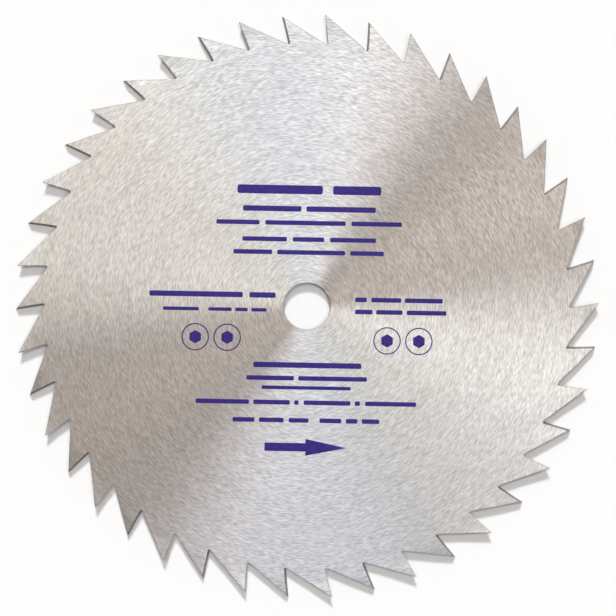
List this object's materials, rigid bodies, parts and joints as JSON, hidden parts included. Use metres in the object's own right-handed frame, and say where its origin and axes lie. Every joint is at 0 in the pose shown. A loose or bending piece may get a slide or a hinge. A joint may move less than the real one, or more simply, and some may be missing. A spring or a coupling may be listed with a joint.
{
  "type": "circular saw blade",
  "caption": "Flat one-piece steel circular saw blade with a plain arbor bore and coarse hooked rip teeth, alternately set and bevel ground, for cutting wood.",
  "frame": {"origin": "on the bore's axis, in the middle of the plate's thickness", "axes": "+Z along the bore, out of the marked face; +X through the point of a tooth that is set upwards; the teeth cut counter-clockwise seen from +Z"},
  "size_m": [0.4, 0.3988, 0.0056],
  "materials": {
    "ground_steel": "hardened tool steel, ground in circles about the bore, with the tooth flanks ground across"
  },
  "bodies": {
    "root": {"saw_blade": "ground_steel"}
  },
  "joints": []
}
